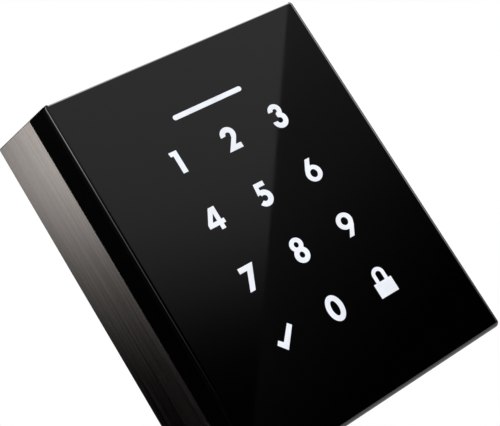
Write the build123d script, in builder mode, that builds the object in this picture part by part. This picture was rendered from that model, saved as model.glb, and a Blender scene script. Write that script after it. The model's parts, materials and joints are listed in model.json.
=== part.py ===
"""Keyless touch-pad deadbolt lock: outside keypad unit, latch with a sliding bolt, and inside drive unit.

Millimetres. Origin on the spindle axis at the door's outside face. +X points to the door's lock edge,
+Y goes through the door from outside to inside, and +Z is up.
"""
from build123d import *
from math import acos, cos, pi, radians, sin, tan
import os

os.makedirs("parts", exist_ok=True)

# ---- driving dimensions: outside unit ----
GLASS_W = 72.8            # width of the touch glass
GLASS_TOP = 48.9          # heights of the touch glass's upper and lower edge
GLASS_BOTTOM = -48.2
GLASS_T = 1.5             # thickness of the touch glass
GLASS_CORNER = 1.2        # corner radius of the touch glass
GLASS_ROLL = 1.0          # radius of the rolled edge round the glass front
SKIN_CORNER = 0.6         # corner radius of band and metal housing
UNIT_D = 28.3             # outside unit's depth from the door face to the glass front
HOUSING_D = 19.3          # depth of the metal housing
GASKET_GAP = 0.35         # shadow gap between black band and metal housing
SIDE_FLARE = 0.195        # outward slope of band and housing at the sides
TOP_FLARE = 0.154         # the same at the top
BOTTOM_FLARE = 0.05       # the same at the underside, nearly square
WALL = 2.0                # wall thickness of housing and band
LEGEND_T = 0.4            # depth of the lit legends in the glass
KEY_PITCH_X = 14.5        # column pitch of the touch keys
KEY_PITCH_Z = 15.8        # row pitch of the touch keys
KEY_ROWS_MID_Z = -0.65    # height of the keypad's middle
STROKE = 1.38             # stroke width of the numerals
SHACKLE_STROKE = 1.0      # stroke width of the padlock symbol's shackle
STATUS_W = 20.0           # lit status bar above the keys
STATUS_H = 1.3
STATUS_Z = 33.2

WINDOW_W = 60.0           # window in the housing's front wall, for the board stack
WINDOW_H = 84.0
STACK_W = 66.0            # light guide and touch board
STACK_H = 90.0
GUIDE_T = 2.0
BOARD_T = 1.2
LED_SIZE = 2.0            # lamp behind each key, and how high it stands
LED_H = 0.7
LED_ROOM = 0.5            # clearance round each lamp in the light guide
GASKET_SET = 0.6          # how far the bezel gasket sits inside the skin
CHASSIS_W = 58.0          # plastic tray behind the touch board
CHASSIS_H = 82.0
CHASSIS_WALL = 2.0
CABLE_WINDOW_W = 20.0     # opening in the tray's floor for the touch board's cable
CABLE_WINDOW_H = 16.0
BOSS_X = 24.6             # screw bosses of the tray
BOSS_Z = 36.6
BOSS_R = 3.0
SCREW_R = 1.2
SCREW_L = 6.0
SCREW_HEAD_R = 2.2
SCREW_CLEARANCE = 0.2     # radial, round every screw and bolt that passes through a plate
MAIN_BOARD_W = 40.0
MAIN_BOARD_H = 76.0
MAIN_BOARD_ROOM = 8.0     # space behind the main board for the cable
BUZZER_R = 6.0
BUZZER_H = 3.0
BUZZER_X = 10.0
BUZZER_Z = -28.0
SOCKET_W = 10.0           # socket for the cable that comes through the door bore
SOCKET_DEPTH = 5.0
SOCKET_Z0 = 3.0
SOCKET_Z1 = 8.0
SOCKET_WALL = 1.0
BACK_PLATE_T = 1.5
CABLE_SLOT_W = 14.0       # slot in the back plate over the socket
PLATE_SET = 2.6           # how far back plate and gasket sit inside the skin
DOOR_GASKET_T = 1.0

# ---- driving dimensions: door and latch ----
DOOR_T = 40.0             # door thickness
LATCH_Y = DOOR_T / 2      # latch axis, in the middle of the door
BACKSET = 60.0            # spindle axis to the door's lock edge
BOLT_THROW = 25.4         # travel of the bolt
BOLT_Y = 12.7             # bolt section along Y
BOLT_Z = 17.0             # bolt section along Z
BOLT_L = 38.0             # bolt length
TUBE_R = 12.0             # outside radius of the latch tube
TUBE_BORE_R = 11.2        # inside radius of the latch tube
TUBE_X0 = 19.0            # rear end of the latch tube
FACE_W = 25.4             # latch faceplate width, along Y
FACE_H = 57.0             # latch faceplate height, along Z
FACE_T = 3.0              # latch faceplate thickness
FACE_CORNER = 4.0
FACE_HOLE_PITCH = 41.3    # faceplate screw spacing
FACE_HOLE_R = 2.2
CRANK_R = BOLT_THROW / 2 / sin(radians(45))   # crank that moves the bolt its throw in 90 degrees
CRANK_PIN_R = 2.0
HUB_R = 5.0               # cam hub radius
RUN = 0.05                # radial running clearance
BLADE_W = 6.0             # torque blade section
BLADE_T = 2.4
POST_SPOTS = [(-20.5, 9.0), (15.0, -18.0)]    # through-bolt axes, as X and Z
POST_R = 3.0
POST_L = 16.0             # how far the posts reach into the bore
THROUGH_R = 2.0           # through-bolt radius
THROUGH_HEAD_R = 3.5
THROUGH_HEAD_H = 2.4
THROUGH_END_Y = 6.0       # inner end of the through-bolts, inside the posts
BORE_R = 27.0             # radius of the bore that the door needs
FRAME_T = 1.5             # sheet thickness of the latch frame
FRAME_HALF = 7.5          # half width of the latch frame along Y
FRAME_X0 = -10.0          # rear end of the latch frame
FRAME_HALF_Z = 9.0        # half height of the latch frame
COLLAR_L = 6.0
TAIL_T = 2.0              # bolt tail: sheet thickness and place
TAIL_Y0 = LATCH_Y + 0.9
TAIL_X0 = -16.6
TAIL_Z0 = 6.6
TAIL_Z1 = 10.0
TAIL_TOP = 21.8
SLOT_Z0 = 9.6             # crank slot in the tail, lower and upper end
SLOT_Z1 = 20.6
ARM_T = 3.0               # thickness of the cam's arm
ARM_W = 6.0               # width of the cam's arm
BLADE_Y0 = 8.0            # outer and inner end of the torque blade
BLADE_Y1 = DOOR_T + 11.0

# ---- driving dimensions: inside unit ----
INSIDE_D = 33.5           # inside unit's depth
INSIDE_W0 = 55.2          # width at the door
INSIDE_W1 = 33.9          # width at the front
INSIDE_Z0 = -38.0         # lower end at the door
INSIDE_Z1 = 68.0          # upper end at the door
INSIDE_END_DRAFT = 1.0    # slope of the two ends over the depth
INSIDE_CORNER = 7.0       # corner radius of the inside unit
INSIDE_WALL = 1.5
INSIDE_BEVEL = 0.8        # edge break round the inside unit's front
PLATE_T = 1.5             # mounting plate thickness
GEAR_MODULE = 0.7
GEAR_TEETH = 32
PINION_TEETH = 14
PRESSURE_ANGLE = 25.0
GEAR_T = 4.0
CELL_R = 7.1              # size AA cell
CELL_L = 49.5
CELL_PITCH = 14.4
CELL_CAP_R = 2.6          # positive cap of a cell
CELL_CAP_H = 1.2
CONTACT_W = 8.0
TURN_SHAFT_R = 6.0
BUTTON_R = 3.0
BUTTON_TRAVEL = 0.8
BUTTON_Z = -27.0
BUTTON_FLANGE_R = 3.8     # flange that keeps the button behind the housing
BUTTON_FLANGE_T = 1.0
INSIDE_BOARD_W = 28.0
INSIDE_BOARD_Z0 = -33.0
INSIDE_BOARD_Z1 = -8.0
SWITCH_W = 5.0            # switch under the program button
GEAR_BACKLASH = 0.10      # tooth thinning of each gear at its pitch circle
MOTOR_R = 6.0
MOTOR_SHAFT_R = 1.0
LEG_SPOTS = [(-18.0, -29.0), (18.0, -29.0), (18.0, 8.0)]
LEG_R = 2.5
GEAR_PLATE_W = 42.0
GEAR_PLATE_Z0 = -32.5
GEAR_PLATE_Z1 = 11.5
INSIDE_SLOT_W = 12.0      # cable slot in the mounting plate
INSIDE_SLOT_Z0 = -22.0
INSIDE_SLOT_Z1 = -14.0
PLATE_HOLE_R = 8.0        # clearance round the torque blade in the mounting plate
TRAY_T = 0.8
TRAY_W = 30.4
TRAY_Z0 = 12.6
CONTACT_GAP = 0.5
TURN_DISC_R = 11.0
TURN_BAR_L = 32.0
TURN_BAR_W = 8.0
TURN_BAR_H = 13.0
TURN_DISC_T = 2.2
TURN_FILLET = 1.2
TURN_KEY_L = 3.0          # square key between thumb-turn and output shaft
KEY_W = 6.0
COVER_W = 30.0
COVER_Z0 = 12.6
COVER_RIBS = 4            # grip grooves of the battery cover
RIB_W = 12.0
RIB_H = 0.8
RIB_DEPTH = 0.3
RIB_PITCH = 2.0

FRONT_Y = -UNIT_D
BAND_FRONT_Y = FRONT_Y + GLASS_T
BAND_BACK_Y = -HOUSING_D - GASKET_GAP
INSIDE_Y = DOOR_T                      # door's inside face
INSIDE_FRONT_Y = DOOR_T + INSIDE_D     # front face of the inside unit
TRAY_Y0 = INSIDE_Y + PLATE_T + 0.4     # floor of the battery tray
MOTOR_Y0 = INSIDE_Y + PLATE_T + 8.3    # motor's mounting face
MOTOR_Y1 = MOTOR_Y0 + 15.0
INSIDE_BOARD_Y = MOTOR_Y1 + 1.4
BUTTON_Y0 = INSIDE_FRONT_Y - INSIDE_WALL - RUN - BUTTON_FLANGE_T


def finish(piece, name):
    """Label a finished piece and write it as its own STEP file."""
    piece.label = name
    export_step(piece, f"parts/{name}.step")


def facing(y, x=0.0, z=0.0):
    """A plane across the spindle axis that faces outdoors: local x is +X and local y is +Z."""
    return Plane(origin=(x, y, z), x_dir=(1, 0, 0), z_dir=(0, -1, 0))


def outside_outline(y):
    """Width, top and bottom of the outside unit's skin at depth y."""
    depth = y - BAND_FRONT_Y
    return GLASS_W + 2 * SIDE_FLARE * depth, GLASS_TOP + TOP_FLARE * depth, GLASS_BOTTOM - BOTTOM_FLARE * depth


def outside_section(y, inset=0.0):
    """Rounded rectangle of the outside unit at depth y, drawn a given distance inside its skin."""
    width, top, bottom = outside_outline(y)
    with BuildSketch(facing(y)) as section:
        with Locations((0, (top + bottom) / 2)):
            RectangleRounded(width - 2 * inset, top - bottom - 2 * inset, SKIN_CORNER)
    return section


def inside_section(y, inset=0.0):
    """Rounded rectangle of the inside unit at depth y, drawn a given distance inside its skin."""
    part_way = (y - INSIDE_Y) / INSIDE_D
    width = INSIDE_W0 + (INSIDE_W1 - INSIDE_W0) * part_way
    top = INSIDE_Z1 - INSIDE_END_DRAFT * part_way
    bottom = INSIDE_Z0 + INSIDE_END_DRAFT * part_way
    with BuildSketch(facing(y)) as section:
        with Locations((0, (top + bottom) / 2)):
            RectangleRounded(width - 2 * inset, top - bottom - 2 * inset, INSIDE_CORNER - inset)
    return section


def slab(y0, y1, width, z0, z1, x=0.0, mode=Mode.ADD):
    """A square-edged block from y0 to y1, centred on x, between heights z0 and z1."""
    with Locations((x, (y0 + y1) / 2, (z0 + z1) / 2)):
        Box(width, y1 - y0, z1 - z0, mode=mode)


def rod(y0, y1, radius, x=0.0, z=0.0, mode=Mode.ADD):
    """A round rod along Y from y0 to y1."""
    with Locations((x, (y0 + y1) / 2, z)):
        Cylinder(radius, y1 - y0, rotation=(90, 0, 0), mode=mode)


def key_centre(index):
    """X and Z of a touch key, counted in rows from the upper left."""
    return (index % 3 - 1) * KEY_PITCH_X, KEY_ROWS_MID_Z + (1.5 - index // 3) * KEY_PITCH_Z


# ---- numerals and symbols ----
def arc_stroke(x, y, radius, start, sweep, width=STROKE):
    """A stroke along part of a circle."""
    with BuildLine() as path:
        CenterArc((x, y), radius, start, sweep)
    trace(path.edges(), line_width=width)


def block(x0, x1, y0, y1):
    """A filled rectangle between two corners."""
    with Locations(((x0 + x1) / 2, (y0 + y1) / 2)):
        Rectangle(x1 - x0, y1 - y0)


def shape(*points, mode=Mode.ADD):
    """A filled polygon."""
    with BuildLine() as outline:
        Polyline(*points, close=True)
    make_face(outline.edges(), mode=mode)


def ring(x, y, radius_x, radius_y, hole_x, hole_y):
    """A filled ellipse with an elliptical hole on the same centre."""
    with Locations((x, y)):
        Ellipse(radius_x, radius_y)
        Ellipse(hole_x, hole_y, mode=Mode.SUBTRACT)


def draw_one():
    block(-0.54, 0.82, -2.9, 3.0)
    shape((-1.35, 3.0), (-1.22, 1.88), (-0.5, 1.88), (-0.5, 3.0))


def draw_two():
    arc_stroke(0.07, 0.9, 1.36, -37, 222)
    shape((0.62, 0.5), (1.72, -0.35), (0.62, -1.95), (2.1, -1.95), (2.1, -3.3), (-1.9, -3.3), (0.5, -0.05))


def draw_three():
    arc_stroke(-0.02, 1.22, 1.2, -90, 268, 1.3)
    arc_stroke(0.02, -1.38, 1.43, -182, 272)
    block(-0.2, 0.4, -0.5, 0.55)


def draw_four():
    shape((-2.22, -1.7), (-2.22, -0.7), (-0.1, 3.0), (1.52, 3.0), (1.52, -0.57), (2.23, -0.57),
          (2.23, -1.7), (1.52, -1.7), (1.52, -2.92), (0.4, -2.92), (0.4, -1.7))
    shape((-0.8, -0.55), (0.38, -0.55), (0.38, 1.5), mode=Mode.SUBTRACT)


def draw_five():
    block(-1.42, 1.34, 1.87, 3.1)
    shape((-1.42, 3.1), (-0.53, 3.1), (-0.53, 0.8), (-1.0, 0.25), (-1.76, 0.02))
    arc_stroke(-0.4, -1.0, 1.46, -150, 272)


def draw_six():
    ring(0.03, -1.12, 2.24, 2.17, 0.95, 1.08)
    shape((-0.28, 2.87), (1.14, 2.87), (0.02, 0.9), (-0.7, -0.05), (-2.05, -0.35), (-1.78, 0.35))


def draw_seven():
    shape((-1.78, 3.08), (2.43, 3.08), (-0.44, -3.04), (-1.9, -3.04), (0.24, 1.75), (-1.78, 1.75))


def draw_eight():
    ring(0.02, -1.22, 2.0, 2.05, 0.66, 0.78)
    with BuildSketch(mode=Mode.PRIVATE) as upper:
        ring(0, 0, 1.81, 1.79, 0.61, 0.7)
        with Locations((0, -1.75)):
            Rectangle(1.2, 0.5, mode=Mode.SUBTRACT)
    with Locations((0.02, 1.5)):
        add(upper.sketch)


def draw_nine():
    ring(0, 0.9, 2.27, 2.18, 0.95, 1.05)
    shape((0.28, -3.27), (-1.14, -3.27), (0.12, -1.3), (0.8, -0.2), (2.08, 0.05), (1.8, -0.7))


def draw_zero():
    ring(-0.04, -0.05, 2.27, 3.3, 0.92, 1.91)


def draw_check():
    shape((-3.06, -0.62), (-2.3, 0.29), (-1.28, -0.7), (1.86, 2.72), (2.72, 1.75), (-1.25, -2.79))


def draw_lock():
    block(-2.63, 2.71, -3.88, -0.11)
    arc_stroke(0.07, 1.68, 1.3, 0, 180, SHACKLE_STROKE)
    for side in (-1.3, 1.3):
        block(0.07 + side - SHACKLE_STROKE / 2, 0.07 + side + SHACKLE_STROKE / 2, -0.2, 1.7)


LEGENDS = [("1", draw_one), ("2", draw_two), ("3", draw_three), ("4", draw_four), ("5", draw_five),
           ("6", draw_six), ("7", draw_seven), ("8", draw_eight), ("9", draw_nine), ("check", draw_check),
           ("0", draw_zero), ("lock", draw_lock)]

# ---- lit legends, one flush inlay per key ----
legend_parts = []
for index, (legend_name, draw) in enumerate(LEGENDS):
    with BuildPart() as legend:
        with BuildSketch(facing(FRONT_Y, *key_centre(index))):
            draw()
        extrude(amount=-LEGEND_T)
    finish(legend.part, f"legend_{legend_name}")
    legend_parts.append(legend.part)

with BuildPart() as status_bar:
    with BuildSketch(facing(FRONT_Y, 0, STATUS_Z)):
        RectangleRounded(STATUS_W, STATUS_H, STATUS_H / 2 - 0.01)
    extrude(amount=-LEGEND_T)
finish(status_bar.part, "status_bar")

# ---- touch glass with pockets for the legends ----
with BuildPart() as front_glass:
    with BuildSketch(facing(FRONT_Y)):
        with Locations((0, (GLASS_TOP + GLASS_BOTTOM) / 2)):
            RectangleRounded(GLASS_W, GLASS_TOP - GLASS_BOTTOM, GLASS_CORNER)
    extrude(amount=-GLASS_T)
    fillet(front_glass.edges().group_by(Axis.Y)[0], GLASS_ROLL)
    for pocket in legend_parts + [status_bar.part]:
        add(pocket, mode=Mode.SUBTRACT)
finish(front_glass.part, "front_glass")

# ---- black band behind the glass ----
with BuildPart() as bezel_band:
    loft([outside_section(BAND_FRONT_Y).sketch, outside_section(BAND_BACK_Y).sketch])
    loft([outside_section(BAND_FRONT_Y, WALL).sketch, outside_section(BAND_BACK_Y, WALL).sketch],
         mode=Mode.SUBTRACT)
finish(bezel_band.part, "bezel_band")

# ---- gasket that fills the shadow gap between band and housing ----
with BuildPart() as bezel_gasket:
    extrude(outside_section(-HOUSING_D, GASKET_SET).sketch, amount=GASKET_GAP)
    extrude(outside_section(-HOUSING_D, WALL).sketch, amount=GASKET_GAP, mode=Mode.SUBTRACT)
finish(bezel_gasket.part, "bezel_gasket")

# ---- metal housing: flared shell with a window in its front wall, open at the door ----
with BuildPart() as outside_housing:
    loft([outside_section(-HOUSING_D).sketch, outside_section(0).sketch])
    loft([outside_section(-HOUSING_D + WALL, WALL).sketch, outside_section(0, WALL).sketch],
         mode=Mode.SUBTRACT)
    slab(-HOUSING_D, -HOUSING_D + WALL, WINDOW_W, -WINDOW_H / 2, WINDOW_H / 2, mode=Mode.SUBTRACT)
finish(outside_housing.part, "outside_housing")

# ---- light guide: a clear diffuser sheet against the back of the glass ----
GUIDE_Y = BAND_FRONT_Y
with BuildPart() as light_guide:
    slab(GUIDE_Y, GUIDE_Y + GUIDE_T, STACK_W, -STACK_H / 2, STACK_H / 2)
    for index in range(len(LEGENDS)):
        led_x, led_z = key_centre(index)
        pocket_half = LED_SIZE / 2 + LED_ROOM
        slab(GUIDE_Y + GUIDE_T / 2, GUIDE_Y + GUIDE_T, 2 * pocket_half, led_z - pocket_half,
             led_z + pocket_half, led_x, mode=Mode.SUBTRACT)
finish(light_guide.part, "light_guide")

# ---- touch board with one lamp behind each key ----
TOUCH_Y = GUIDE_Y + GUIDE_T
with BuildPart() as touch_board:
    slab(TOUCH_Y, TOUCH_Y + BOARD_T, STACK_W, -STACK_H / 2, STACK_H / 2)
finish(touch_board.part, "touch_board")

with BuildPart() as touch_leds:
    for index in range(len(LEGENDS)):
        led_x, led_z = key_centre(index)
        slab(TOUCH_Y - LED_H, TOUCH_Y, LED_SIZE, led_z - LED_SIZE / 2, led_z + LED_SIZE / 2, led_x)
finish(touch_leds.part, "touch_leds")

# ---- chassis: plastic tray that holds the boards and screws to the back plate ----
CHASSIS_Y0 = TOUCH_Y + BOARD_T
CHASSIS_Y1 = -BACK_PLATE_T - DOOR_GASKET_T
CHASSIS_SPOTS = [(x, z) for x in (-BOSS_X, BOSS_X) for z in (-BOSS_Z, BOSS_Z)]
CHASSIS_FLOOR_Y = CHASSIS_Y0 + CHASSIS_WALL
MAIN_BOARD_Y = CHASSIS_Y1 - MAIN_BOARD_ROOM
with BuildPart() as outside_chassis:
    slab(CHASSIS_Y0, CHASSIS_Y1, CHASSIS_W, -CHASSIS_H / 2, CHASSIS_H / 2)
    slab(CHASSIS_FLOOR_Y, CHASSIS_Y1, CHASSIS_W - 2 * CHASSIS_WALL, CHASSIS_WALL - CHASSIS_H / 2,
         CHASSIS_H / 2 - CHASSIS_WALL, mode=Mode.SUBTRACT)
    slab(CHASSIS_Y0, CHASSIS_FLOOR_Y, CABLE_WINDOW_W, -CABLE_WINDOW_H / 2, CABLE_WINDOW_H / 2,
         mode=Mode.SUBTRACT)
    for boss_x, boss_z in CHASSIS_SPOTS:
        rod(CHASSIS_FLOOR_Y, CHASSIS_Y1, BOSS_R, boss_x, boss_z)
        rod(CHASSIS_Y1 - SCREW_L, CHASSIS_Y1, SCREW_R, boss_x, boss_z, mode=Mode.SUBTRACT)
finish(outside_chassis.part, "outside_chassis")

# ---- main board, its components, the sounder and the cable socket ----
with BuildPart() as main_board:
    slab(MAIN_BOARD_Y, MAIN_BOARD_Y + BOARD_T, MAIN_BOARD_W, -MAIN_BOARD_H / 2, MAIN_BOARD_H / 2)
finish(main_board.part, "main_board")

# components on the main board: middle as X and Z, width, length and height
CONTROLLER = (-6.0, 17.0, 10.0, 10.0, 1.6)
MEMORY = (8.0, 17.5, 7.0, 7.0, 1.2)
RADIO = (-8.0, -16.0, 14.0, 16.0, 2.4)
CAPACITORS = [(x, -12.0, 2.5, 4.0, 1.5) for x in (6.0, 10.0, 14.0)]
with BuildPart() as main_board_parts:
    for chip_x, chip_z, chip_w, chip_l, chip_h in [CONTROLLER, MEMORY, RADIO] + CAPACITORS:
        slab(MAIN_BOARD_Y - chip_h, MAIN_BOARD_Y, chip_w, chip_z - chip_l / 2, chip_z + chip_l / 2, chip_x)
finish(main_board_parts.part, "main_board_parts")

with BuildPart() as buzzer:
    rod(MAIN_BOARD_Y - BUZZER_H, MAIN_BOARD_Y, BUZZER_R, BUZZER_X, BUZZER_Z)
    rod(MAIN_BOARD_Y - BUZZER_H, MAIN_BOARD_Y - BUZZER_H + 1.0, 1.0, BUZZER_X, BUZZER_Z, mode=Mode.SUBTRACT)
finish(buzzer.part, "buzzer")

SOCKET_Y = MAIN_BOARD_Y + BOARD_T
with BuildPart() as cable_socket:
    slab(SOCKET_Y, SOCKET_Y + SOCKET_DEPTH, SOCKET_W, SOCKET_Z0, SOCKET_Z1)
    slab(SOCKET_Y + 1.5 * SOCKET_WALL, SOCKET_Y + SOCKET_DEPTH, SOCKET_W - 2 * SOCKET_WALL,
         SOCKET_Z0 + SOCKET_WALL, SOCKET_Z1 - SOCKET_WALL, mode=Mode.SUBTRACT)
finish(cable_socket.part, "cable_socket")

# ---- back plate with the two threaded posts that reach into the door bore ----
with BuildPart() as back_plate:
    extrude(outside_section(-DOOR_GASKET_T, PLATE_SET).sketch, amount=BACK_PLATE_T)
    slab(CHASSIS_Y1, -DOOR_GASKET_T, CABLE_SLOT_W, SOCKET_Z0 - 2, SOCKET_Z1 + 2, mode=Mode.SUBTRACT)
    for screw_x, screw_z in CHASSIS_SPOTS:
        rod(CHASSIS_Y1, -DOOR_GASKET_T, SCREW_R + SCREW_CLEARANCE, screw_x, screw_z, mode=Mode.SUBTRACT)
finish(back_plate.part, "back_plate")

with BuildPart() as chassis_screws:
    for screw_x, screw_z in CHASSIS_SPOTS:
        rod(CHASSIS_Y1 - SCREW_L, -DOOR_GASKET_T, SCREW_R, screw_x, screw_z)
        rod(-DOOR_GASKET_T, -0.1, SCREW_HEAD_R, screw_x, screw_z)
finish(chassis_screws.part, "chassis_screws")

with BuildPart() as support_posts:
    for post_x, post_z in POST_SPOTS:
        rod(-DOOR_GASKET_T, POST_L, POST_R, post_x, post_z)
        rod(2.0, POST_L, THROUGH_R + RUN, post_x, post_z, mode=Mode.SUBTRACT)
finish(support_posts.part, "support_posts")

# ---- rubber gasket on the door, open over the bore ----
with BuildPart() as door_gasket:
    extrude(outside_section(0, PLATE_SET).sketch, amount=DOOR_GASKET_T)
    rod(-DOOR_GASKET_T, 0, BORE_R - 0.5, mode=Mode.SUBTRACT)
    for screw_x, screw_z in CHASSIS_SPOTS:
        rod(-DOOR_GASKET_T, 0, SCREW_HEAD_R + 0.6, screw_x, screw_z, mode=Mode.SUBTRACT)
finish(door_gasket.part, "door_gasket")

# ---- latch: faceplate, tube and frame ----
FACE_BACK_X = BACKSET - FACE_T
with BuildPart() as latch_faceplate:
    with BuildSketch(Plane.YZ.offset(FACE_BACK_X)):
        with Locations((LATCH_Y, 0)):
            RectangleRounded(FACE_W, FACE_H, FACE_CORNER)
            SlotOverall(BOLT_Z + 0.2, BOLT_Y + 0.2, rotation=90, mode=Mode.SUBTRACT)
    extrude(amount=FACE_T)
    with Locations(Plane(origin=(BACKSET, LATCH_Y, 0), x_dir=(0, 1, 0), z_dir=(1, 0, 0))):
        with Locations((0, -FACE_HOLE_PITCH / 2), (0, FACE_HOLE_PITCH / 2)):
            Hole(FACE_HOLE_R)
finish(latch_faceplate.part, "latch_faceplate")

with BuildPart() as latch_tube:
    with BuildSketch(Plane.YZ.offset(TUBE_X0)):
        with Locations((LATCH_Y, 0)):
            Circle(TUBE_R)
    extrude(amount=FACE_BACK_X - TUBE_X0)
    with BuildSketch(Plane.YZ.offset(TUBE_X0 + FRAME_T)):
        with Locations((LATCH_Y, 0)):
            Circle(TUBE_BORE_R)
    extrude(amount=FACE_BACK_X - TUBE_X0 - FRAME_T, mode=Mode.SUBTRACT)
    with Locations((TUBE_X0 + FRAME_T / 2, TAIL_Y0 + TAIL_T / 2, (TAIL_Z0 + TAIL_Z1) / 2)):
        Box(FRAME_T, TAIL_T + 0.6, TAIL_Z1 - TAIL_Z0 + 0.6, mode=Mode.SUBTRACT)
finish(latch_tube.part, "latch_tube")

with BuildPart() as latch_frame:
    for cheek_y in (LATCH_Y - FRAME_HALF, LATCH_Y + FRAME_HALF - FRAME_T):
        slab(cheek_y, cheek_y + FRAME_T, TUBE_X0 - FRAME_X0, -FRAME_HALF_Z, FRAME_HALF_Z,
             (TUBE_X0 + FRAME_X0) / 2)
        rod(cheek_y, cheek_y + FRAME_T, HUB_R + RUN, mode=Mode.SUBTRACT)
    slab(LATCH_Y - FRAME_HALF, LATCH_Y + FRAME_HALF, FRAME_T, -FRAME_HALF_Z, 0, FRAME_X0 + FRAME_T / 2)
finish(latch_frame.part, "latch_frame")

# ---- bolt: stadium bar, round collar that guides it in the tube, and the slotted tail ----
PIN_REST_X = -CRANK_R * sin(radians(45))
SLOT_HALF = CRANK_PIN_R + 0.7
BOLT_X0 = BACKSET - BOLT_L
with BuildPart() as bolt:
    with BuildSketch(Plane.YZ.offset(BOLT_X0)):
        with Locations((LATCH_Y, 0)):
            SlotOverall(BOLT_Z, BOLT_Y, rotation=90)
    extrude(amount=BOLT_L)
    fillet(bolt.edges().group_by(Axis.X)[-1], 0.8)
    with BuildSketch(Plane.YZ.offset(BOLT_X0)):
        with Locations((LATCH_Y, 0)):
            Circle(TUBE_BORE_R - 0.08)
    extrude(amount=COLLAR_L)
    slab(TAIL_Y0, TAIL_Y0 + TAIL_T, BOLT_X0 - TAIL_X0, TAIL_Z0, TAIL_Z1, (BOLT_X0 + TAIL_X0) / 2)
    slab(TAIL_Y0, TAIL_Y0 + TAIL_T, 2 * (PIN_REST_X - TAIL_X0), TAIL_Z0, TAIL_TOP, PIN_REST_X)
    with BuildSketch(facing(TAIL_Y0)):
        with Locations((PIN_REST_X, (SLOT_Z0 + SLOT_Z1) / 2)):
            SlotOverall(SLOT_Z1 - SLOT_Z0, 2 * SLOT_HALF, rotation=90)
    extrude(amount=-TAIL_T, mode=Mode.SUBTRACT)
finish(bolt.part, "bolt")

# ---- cam: hub, arm and crank pin, turned by the torque blade ----
ARM_Y1 = TAIL_Y0 - 0.2
with BuildPart() as latch_cam:
    rod(LATCH_Y - FRAME_HALF, LATCH_Y + FRAME_HALF, HUB_R)
    with BuildSketch(facing(ARM_Y1 - ARM_T)):
        Circle(HUB_R + 1.0)
        with Locations(Rotation(0, 0, 45)):
            with Locations((0, CRANK_R / 2)):
                Rectangle(ARM_W, CRANK_R)
            with Locations((0, CRANK_R)):
                Circle(ARM_W / 2)
    extrude(amount=-ARM_T)
    rod(ARM_Y1, TAIL_Y0 + TAIL_T + 0.3, CRANK_PIN_R, PIN_REST_X, -PIN_REST_X)
    slab(LATCH_Y - FRAME_HALF, LATCH_Y + FRAME_HALF, BLADE_T + 0.1, -BLADE_W / 2 - 0.05, BLADE_W / 2 + 0.05,
         mode=Mode.SUBTRACT)
finish(latch_cam.part, "latch_cam")

with BuildPart() as torque_blade:
    slab(BLADE_Y0, BLADE_Y1, BLADE_T, -BLADE_W / 2, BLADE_W / 2)
finish(torque_blade.part, "torque_blade")

# ---- inside unit: mounting plate and through-bolts ----
PLATE_Y1 = INSIDE_Y + PLATE_T
with BuildPart() as mount_plate:
    extrude(inside_section(INSIDE_Y, INSIDE_WALL + 0.8).sketch, amount=-PLATE_T)
    rod(INSIDE_Y, PLATE_Y1, PLATE_HOLE_R, mode=Mode.SUBTRACT)
    slab(INSIDE_Y, PLATE_Y1, INSIDE_SLOT_W, INSIDE_SLOT_Z0, INSIDE_SLOT_Z1, mode=Mode.SUBTRACT)
    for post_x, post_z in POST_SPOTS:
        rod(INSIDE_Y, PLATE_Y1, THROUGH_R + SCREW_CLEARANCE, post_x, post_z, mode=Mode.SUBTRACT)
finish(mount_plate.part, "mount_plate")

with BuildPart() as through_bolts:
    for post_x, post_z in POST_SPOTS:
        rod(THROUGH_END_Y, PLATE_Y1, THROUGH_R, post_x, post_z)
        rod(PLATE_Y1, PLATE_Y1 + THROUGH_HEAD_H, THROUGH_HEAD_R, post_x, post_z)
        slab(PLATE_Y1 + THROUGH_HEAD_H - 1.0, PLATE_Y1 + THROUGH_HEAD_H, 5.0, post_z - 0.5, post_z + 0.5,
             post_x, mode=Mode.SUBTRACT)
finish(through_bolts.part, "through_bolts")


# ---- gears ----
def involute_gear(teeth, backlash, turned):
    """Outline of an involute spur gear, turned by an angle in degrees, drawn in the open sketch."""
    pitch_r = GEAR_MODULE * teeth / 2
    base_r = pitch_r * cos(radians(PRESSURE_ANGLE))
    tip_r = pitch_r + GEAR_MODULE
    root_r = pitch_r - 1.25 * GEAR_MODULE
    start_r = max(base_r, root_r)

    def spread(radius):
        """Angle that the involute has unwound at a radius."""
        angle = acos(min(base_r / radius, 1.0))
        return tan(angle) - angle

    half_tooth = pi / (2 * teeth) - backlash / (2 * pitch_r) + spread(pitch_r)
    flank = [start_r + (tip_r - start_r) * step / 4 for step in range(5)]
    points = []
    for tooth in range(teeth):
        middle = 2 * pi * tooth / teeth + radians(turned)
        rising = [(r, middle - half_tooth + spread(r)) for r in flank]
        falling = [(r, middle + half_tooth - spread(r)) for r in reversed(flank)]
        foot = [(root_r, middle - half_tooth)]
        heel = [(root_r, middle + half_tooth)]
        points += [(r * cos(a), r * sin(a)) for r, a in foot + rising + falling + heel]
    shape(*points)


GEAR_Y0 = PLATE_Y1 + 1.5
GEAR_Y1 = GEAR_Y0 + GEAR_T
GEAR_SPACING = GEAR_MODULE * (GEAR_TEETH + PINION_TEETH) / 2
SHAFT_Y1 = INSIDE_FRONT_Y + 0.4
with BuildPart() as output_gear:
    with BuildSketch(facing(GEAR_Y1)):
        involute_gear(GEAR_TEETH, GEAR_BACKLASH, -90)
    extrude(amount=GEAR_T)
    rod(GEAR_Y1, SHAFT_Y1 - TURN_KEY_L, TURN_SHAFT_R)
    slab(GEAR_Y0, BLADE_Y1 + 0.5, BLADE_T + 0.1, -BLADE_W / 2 - 0.05, BLADE_W / 2 + 0.05, mode=Mode.SUBTRACT)
    slab(SHAFT_Y1 - 2 * TURN_KEY_L, SHAFT_Y1 - TURN_KEY_L, KEY_W, -KEY_W / 2, KEY_W / 2, mode=Mode.SUBTRACT)
finish(output_gear.part, "output_gear")

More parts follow.
